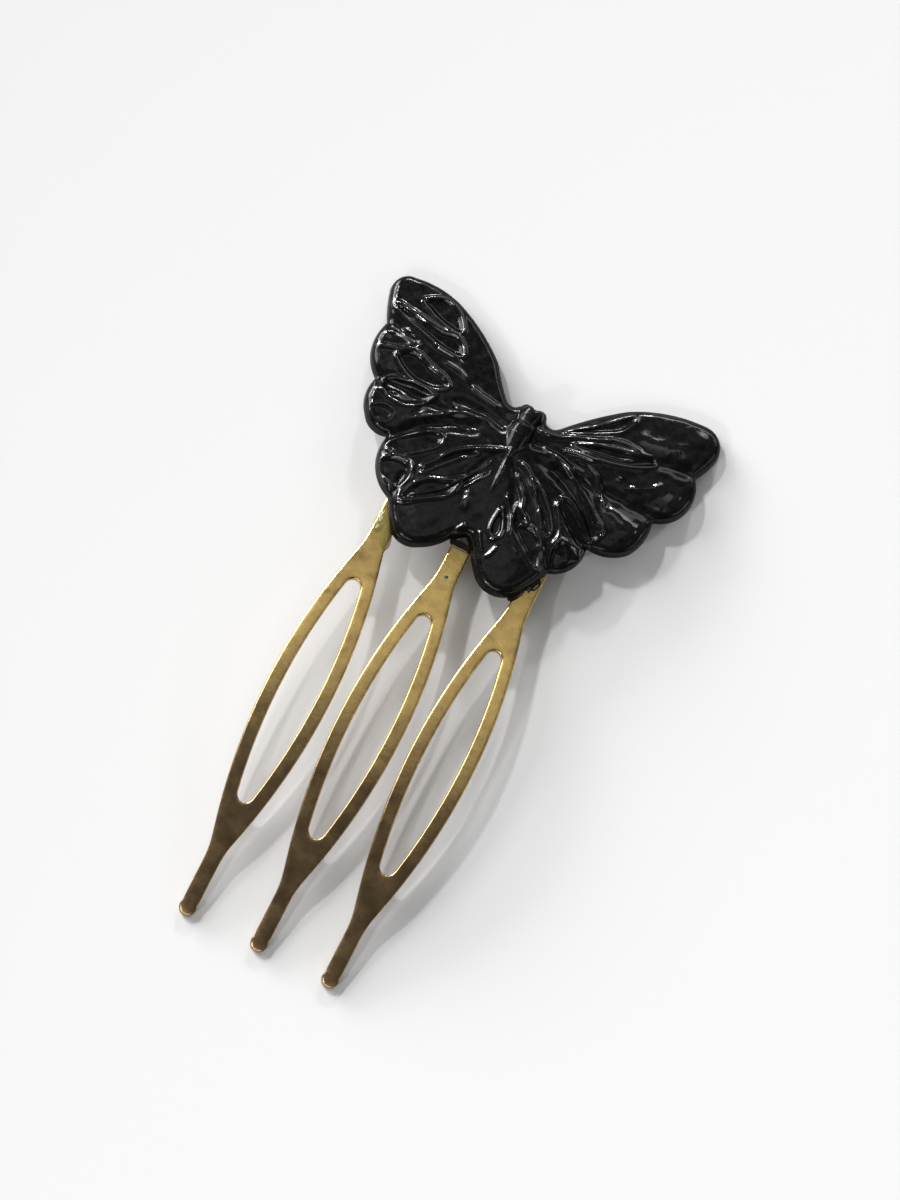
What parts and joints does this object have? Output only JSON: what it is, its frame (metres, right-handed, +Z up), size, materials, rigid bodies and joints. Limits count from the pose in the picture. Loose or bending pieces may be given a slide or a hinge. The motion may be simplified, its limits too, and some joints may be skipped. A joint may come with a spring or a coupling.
{
  "type": "butterfly hair comb",
  "caption": "Stamped metal hair comb with looped prongs, carrying a cast butterfly glued over its spine; pushed into gathered hair to hold and decorate it.",
  "frame": {"origin": "centre of the footprint on the table, with the prong tips and the butterfly's upper wing edges touching the table", "axes": "+Y from the prong tips towards the butterfly's head, +X to the right seen from the butterfly's front with its head up, +Z up out of the butterfly's front"},
  "size_m": [0.0432, 0.0779, 0.0065],
  "materials": {
    "comb_brass": "satin, lightly scratched",
    "butterfly_resin": "glossy cast black resin",
    "adhesive": "clear glossy set adhesive, olive brown in depth"
  },
  "bodies": {
    "root": {"comb": "comb_brass", "butterfly": "butterfly_resin", "glue_left": "adhesive", "glue_middle": "adhesive", "glue_right": "adhesive"}
  },
  "joints": []
}
